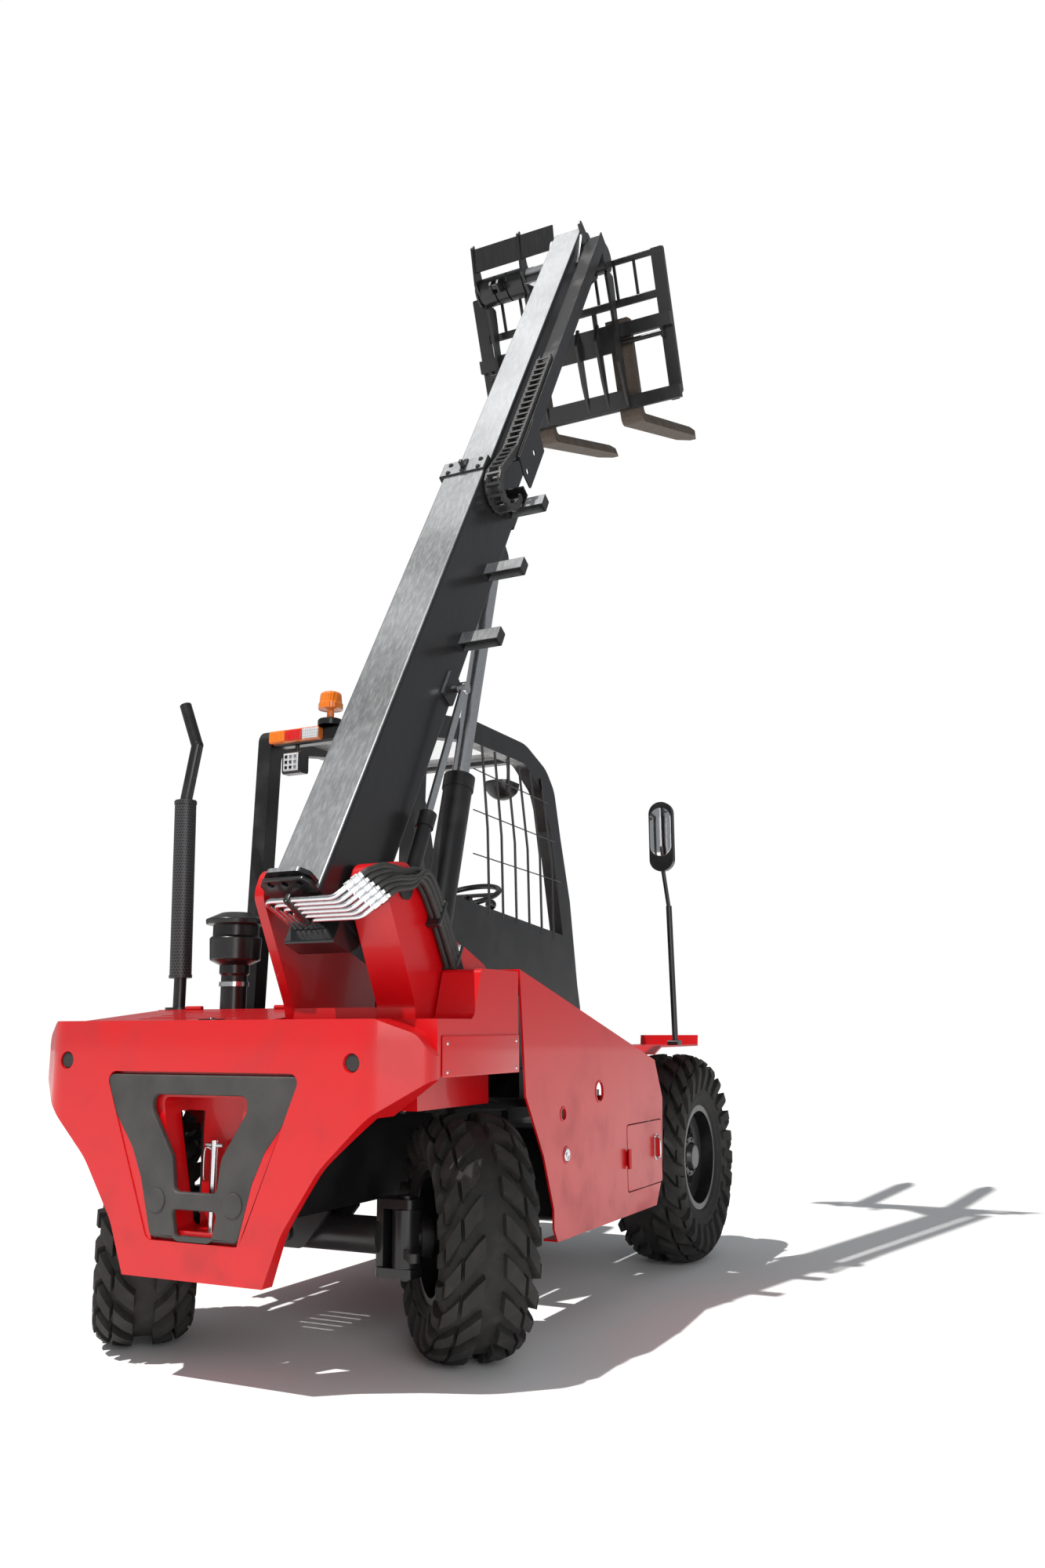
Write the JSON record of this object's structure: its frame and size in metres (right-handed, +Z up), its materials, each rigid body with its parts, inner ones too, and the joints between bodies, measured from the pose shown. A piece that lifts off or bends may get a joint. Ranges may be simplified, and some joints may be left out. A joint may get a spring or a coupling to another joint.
{
  "type": "compact telescopic boom forklift",
  "caption": "Compact telescopic handler with a side-mounted two-section boom, fork carriage, open operator canopy and rear steering.",
  "frame": {"origin": "on the ground under the centre of the overall box, on the machine's centre plane", "axes": "+X forward towards the forks, +Y to the operator's left, +Z up"},
  "size_m": [3.9994, 1.923, 5.5289],
  "materials": {
    "red_paint": "gloss",
    "black_paint": "satin",
    "cast_iron": "rough",
    "rim_paint": "satin",
    "tyre": "matte",
    "fork_steel": "worn",
    "chrome": "polished",
    "chain_plastic": "matte",
    "seat_vinyl": "satin",
    "roof_sheet": "clear",
    "lamp_lens": "gloss"
  },
  "bodies": {
    "chassis": {"chassis_frame": "black_paint", "counterweight": "red_paint", "rear_grille": "black_paint", "tow_pin": "chrome", "engine_block": "cast_iron", "rear_axle": "black_paint", "front_axle": "black_paint", "front_fender_left": "red_paint", "front_fender_right": "red_paint", "right_side_panel": "red_paint", "fuel_tank": "black_paint", "right_rear_box": "red_paint", "left_side_panel": "red_paint", "engine_deck": "red_paint", "exhaust_stack": "black_paint", "air_cleaner_unit": "black_paint", "boom_tower": "red_paint", "canopy_frame": "black_paint", "canopy_roof": "roof_sheet", "side_guard": "black_paint", "cab_floor": "black_paint", "operator_seat": "seat_vinyl", "steering_console": "black_paint", "lever_console": "black_paint", "tail_light": "lamp_lens", "work_lamp": "black_paint", "warning_beacon": "lamp_lens", "dome_mirror": "black_paint", "right_mirror": "black_paint"},
    "knuckle_right": {"knuckle_right": "black_paint"},
    "knuckle_left": {"knuckle_left": "black_paint"},
    "rear_wheel_right": {"rear_rim_right": "rim_paint", "rear_tyre_right": "tyre"},
    "rear_wheel_left": {"rear_rim_left": "rim_paint", "rear_tyre_left": "tyre"},
    "front_wheel_right": {"front_rim_right": "rim_paint", "front_tyre_right": "tyre"},
    "front_wheel_left": {"front_rim_left": "rim_paint", "front_tyre_left": "tyre"},
    "boom": {"boom_outer": "black_paint", "chain_tray": "black_paint", "boom_tubes": "chrome", "tail_cover": "black_paint"},
    "boom_inner": {"boom_inner": "black_paint", "boom_head": "black_paint", "inner_tray": "black_paint", "energy_chain": "chain_plastic"},
    "level_link": {"level_link": "black_paint"},
    "hitch": {"hitch_frame": "black_paint"},
    "carriage": {"fork_carriage": "black_paint", "fork_left": "fork_steel", "fork_right": "fork_steel"},
    "lift_barrel": {"lift_barrel": "black_paint"},
    "lift_rod": {"lift_rod": "chrome"},
    "levelling_barrel": {"comp_barrel": "black_paint"},
    "levelling_rod": {"comp_rod": "chrome"},
    "engine_hood": {"engine_hood": "red_paint"},
    "side_door": {"side_door": "red_paint"}
  },
  "joints": [
    {"name": "rear_right_steer", "type": "hinge", "parent": "chassis", "child": "knuckle_right", "pos_m": [-1.325, -0.443, 0.4125], "axis": [0, 0, 1], "range_deg": [-86, 0]},
    {"name": "rear_left_steer", "type": "hinge", "parent": "chassis", "child": "knuckle_left", "pos_m": [-1.325, 0.443, 0.4125], "axis": [0, 0, 1], "range_deg": [-86, 0]},
    {"name": "rear_right_wheel", "type": "hinge", "parent": "knuckle_right", "child": "rear_wheel_right", "pos_m": [-1.18314, -0.59512, 0.4125], "axis": [-0.682, 0.7314, 0], "continuous": true},
    {"name": "front_right_wheel", "type": "hinge", "parent": "chassis", "child": "front_wheel_right", "pos_m": [0.855, -0.65, 0.495], "axis": [0, 1, 0], "continuous": true},
    {"name": "rear_left_wheel", "type": "hinge", "parent": "knuckle_left", "child": "rear_wheel_left", "pos_m": [-1.46686, 0.59512, 0.4125], "axis": [-0.682, 0.7314, 0], "continuous": true},
    {"name": "front_left_wheel", "type": "hinge", "parent": "chassis", "child": "front_wheel_left", "pos_m": [0.855, 0.65, 0.495], "axis": [0, 1, 0], "continuous": true},
    {"name": "boom_lift", "type": "hinge", "parent": "chassis", "child": "boom", "pos_m": [-1.7, -0.37, 1.575], "axis": [0, -1, 0], "range_deg": [-71, 0]},
    {"name": "boom_extend", "type": "slide", "parent": "boom", "child": "boom_inner", "axis": [0.5, 0, 0.866], "range_m": [-1.05, 0]},
    {"name": "fork_level", "type": "hinge", "parent": "boom_inner", "child": "level_link", "pos_m": [0.48115, -0.37, 5.30286], "axis": [0, -1, 0], "range_deg": [0, 71]},
    {"name": "fork_tilt", "type": "hinge", "parent": "level_link", "child": "hitch", "pos_m": [0.48115, -0.37, 5.30286], "axis": [0, -1, 0], "range_deg": [-28, 10]},
    {"name": "side_shift", "type": "slide", "parent": "hitch", "child": "carriage", "axis": [0, 1, 0], "range_m": [-0.1, 0.1]},
    {"name": "lift_barrel_pivot", "type": "hinge", "parent": "chassis", "child": "lift_barrel", "pos_m": [-1.189, -0.37, 0.925], "axis": [0, -1, 0], "range_deg": [-70.69, 0]},
    {"name": "lift_rod_slide", "type": "slide", "parent": "lift_barrel", "child": "lift_rod", "axis": [0.2738, 0, 0.9618], "range_m": [-0.96072, 0.0005]},
    {"name": "levelling_barrel_pivot", "type": "hinge", "parent": "chassis", "child": "levelling_barrel", "pos_m": [-1.515, -0.535, 1.585], "axis": [0, -1, 0], "range_deg": [-84.05, 0]},
    {"name": "levelling_rod_slide", "type": "slide", "parent": "levelling_barrel", "child": "levelling_rod", "axis": [0.4332, 0, 0.9013], "range_m": [-0.07177, 0.0005]},
    {"name": "engine_hood_hinge", "type": "hinge", "parent": "chassis", "child": "engine_hood", "pos_m": [-1.269, 0.35, 1.202], "axis": [0, 1, 0], "range_deg": [0, 60]},
    {"name": "side_door_hinge", "type": "hinge", "parent": "chassis", "child": "side_door", "pos_m": [-0.167, -0.82, 0.58], "axis": [0, 0, -1], "range_deg": [0, 100]}
  ],
  "couplings": [
    {"joint": "rear_left_steer", "follows": "rear_right_steer", "ratio": 1},
    {"joint": "fork_level", "follows": "boom_lift", "ratio": -1},
    {"joint": "lift_barrel_pivot", "follows": "boom_lift", "ratio": 0.99565},
    {"joint": "lift_rod_slide", "follows": "boom_lift", "m_per_rad": 0.77488},
    {"joint": "levelling_barrel_pivot", "follows": "boom_lift", "ratio": 1.1838},
    {"joint": "levelling_rod_slide", "follows": "boom_lift", "m_per_rad": 0.057512}
  ]
}
